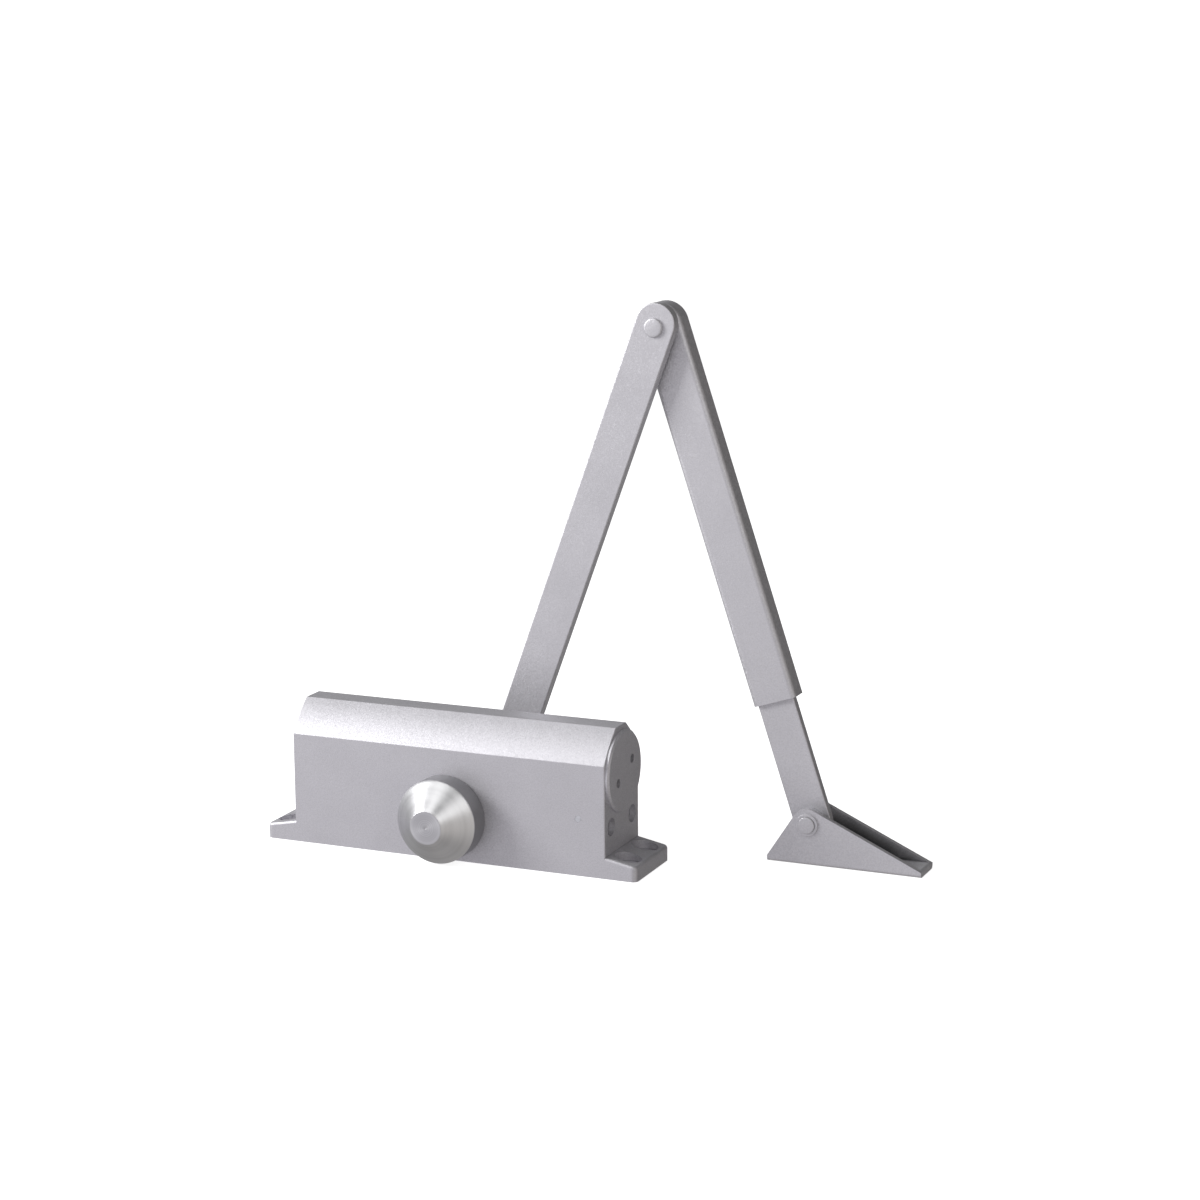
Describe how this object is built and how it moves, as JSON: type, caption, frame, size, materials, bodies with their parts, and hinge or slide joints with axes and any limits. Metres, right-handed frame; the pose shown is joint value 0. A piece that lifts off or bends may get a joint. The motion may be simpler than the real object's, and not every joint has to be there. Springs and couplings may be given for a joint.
{
  "type": "door closer",
  "caption": "Surface-mounted hydraulic door closer: long bevelled body with foot flanges, cone spindle cap, folding main arm and channel forearm, and a frame shoe.",
  "frame": {"origin": "centre of the four fixing holes on the body's mounting face", "axes": "+X along the body towards the valve end and the shoe, -Y the side of the cone cap, +Z away from the mounting face"},
  "size_m": [0.2903, 0.0899, 0.2421],
  "materials": {
    "painted_casting": "fine metallic silver powder coat on die-cast aluminium",
    "silver_paint": "fine metallic silver powder coat",
    "turned_aluminium": "turned, with fine machining lines",
    "zinc_steel": "bright zinc plate",
    "ground_steel": "hardened and ground",
    "spring_steel": "oiled spring wire",
    "cast_iron": "machined ductile iron",
    "nitrile_rubber": "smooth black rubber"
  },
  "bodies": {
    "closer": {"closer_body": "painted_casting", "left_end_cap": "painted_casting", "right_end_cap": "painted_casting", "left_cap_o_ring": "nitrile_rubber", "right_cap_o_ring": "nitrile_rubber", "front_bearing_nut": "zinc_steel", "rear_bearing_nut": "zinc_steel", "front_needle_bearing": "ground_steel", "rear_needle_bearing": "ground_steel", "front_pinion_seal": "nitrile_rubber", "rear_pinion_seal": "nitrile_rubber", "pinion_cap": "turned_aluminium", "passage_plug": "zinc_steel", "outer_spring": "spring_steel", "inner_spring": "spring_steel"},
    "sweep_valve": {"sweep_valve_screw": "zinc_steel", "sweep_valve_o_ring": "nitrile_rubber"},
    "latch_valve": {"latch_valve_screw": "zinc_steel", "latch_valve_o_ring": "nitrile_rubber"},
    "spindle": {"pinion_shaft": "ground_steel", "main_arm": "silver_paint", "arm_washer": "zinc_steel", "arm_screw": "zinc_steel", "elbow_rivet": "silver_paint", "elbow_washer": "zinc_steel"},
    "piston": {"piston": "cast_iron", "check_plug": "zinc_steel", "check_spring": "spring_steel"},
    "check_ball": {"check_ball": "ground_steel"},
    "forearm": {"forearm_channel": "silver_paint", "clamp_stud": "zinc_steel", "clamp_plate": "zinc_steel", "clamp_nut": "zinc_steel"},
    "rod": {"adjusting_rod": "silver_paint"},
    "shoe": {"shoe_bracket": "silver_paint", "shoe_pin": "silver_paint", "shoe_spacers": "zinc_steel"}
  },
  "joints": [
    {"name": "spindle_turn", "type": "hinge", "parent": "closer", "child": "spindle", "pos_m": [0, 0, 0.0198], "axis": [0, 1, 0], "range_deg": [0, 170], "stiffness_Nm_per_rad": 5, "springref_deg": -68.75},
    {"name": "piston_slide", "type": "slide", "parent": "closer", "child": "piston", "axis": [1, 0, 0], "range_m": [0, 0.0334], "deforming": ["outer_spring", "inner_spring"]},
    {"name": "check_ball_lift", "type": "slide", "parent": "piston", "child": "check_ball", "axis": [-1, 0, 0], "range_m": [0, 0.0006], "stiffness_N_per_m": 60, "springref_m": -0.0005, "deforming": ["check_spring"]},
    {"name": "sweep_valve_turn", "type": "hinge", "parent": "closer", "child": "sweep_valve", "pos_m": [0.07, -0.0115, 0.0213], "axis": [1, 0, 0], "range_deg": [-360, 360]},
    {"name": "latch_valve_turn", "type": "hinge", "parent": "closer", "child": "latch_valve", "pos_m": [0.07, 0.0115, 0.0213], "axis": [1, 0, 0], "range_deg": [-360, 360]},
    {"name": "elbow_hinge", "type": "hinge", "parent": "spindle", "child": "forearm", "pos_m": [0.07797, 0, 0.2315], "axis": [0, -1, 0], "range_deg": [-18, 141]},
    {"name": "rod_slide", "type": "slide", "parent": "forearm", "child": "rod", "axis": [0.3145, 0, -0.9493], "range_m": [-0.033, 0.025]},
    {"name": "shoe_hinge", "type": "hinge", "parent": "rod", "child": "shoe", "pos_m": [0.14864, 0, 0.0182], "axis": [0, 1, 0], "range_deg": [-103, 66]}
  ],
  "couplings": [
    {"joint": "piston_slide", "follows": "spindle_turn", "m_per_rad": 0.01125}
  ]
}
